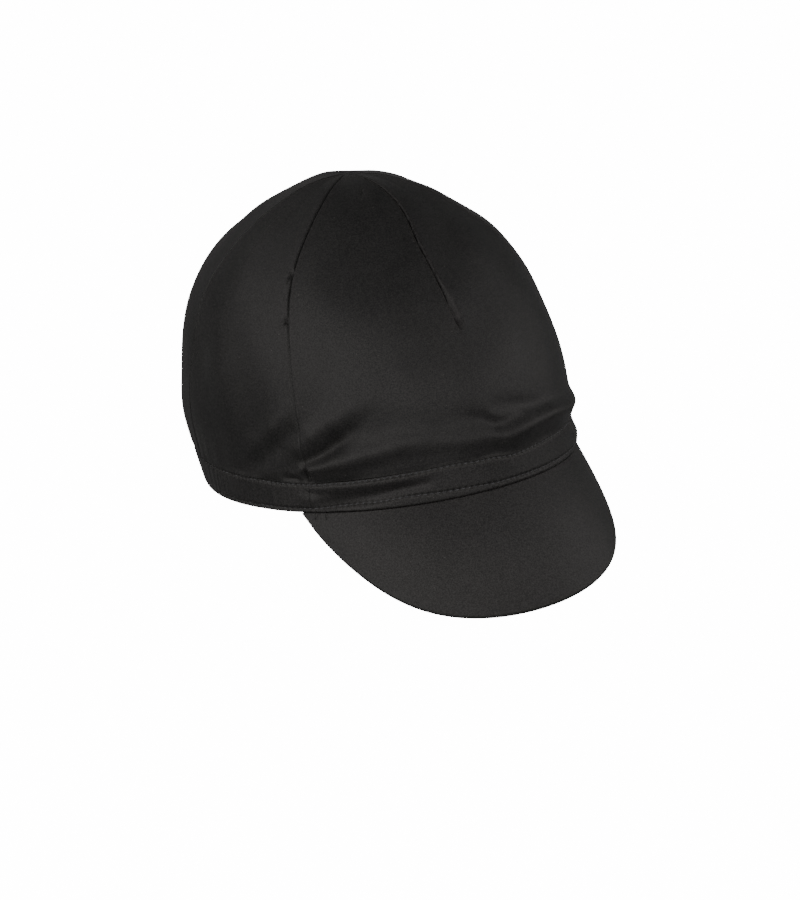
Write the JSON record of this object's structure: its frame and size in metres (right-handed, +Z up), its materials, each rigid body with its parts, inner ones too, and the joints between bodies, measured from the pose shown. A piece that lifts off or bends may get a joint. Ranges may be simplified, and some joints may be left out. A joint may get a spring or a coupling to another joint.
{
  "type": "cycling cap",
  "caption": "Soft black cotton cycling cap: panelled domed crown with seams and a front dart, stitched band gathered on elastic behind, short drooping peak.",
  "frame": {"origin": "middle of the head opening, in the plane of the rim", "axes": "+Z up along the head that wears it, the peak points to -Y, +X is the wearer's left. The cap is tipped back by 13 degrees, front up, as worn"},
  "size_m": [0.1708, 0.2517, 0.1555],
  "materials": {
    "crown_cloth": "black cotton, fine weave with a faint satin sheen",
    "band_cloth": "black cotton, folded and topstitched with grey thread, gathered on elastic at the back",
    "peak_cloth": "black cotton stretched smooth over the peak"
  },
  "bodies": {
    "root": {"crown_front_panel": "crown_cloth", "crown_right_panel": "crown_cloth", "crown_left_panel": "crown_cloth", "crown_back_panel": "crown_cloth", "band_front": "band_cloth", "band_back": "band_cloth", "peak_upper": "peak_cloth", "peak_under": "peak_cloth"}
  },
  "joints": []
}
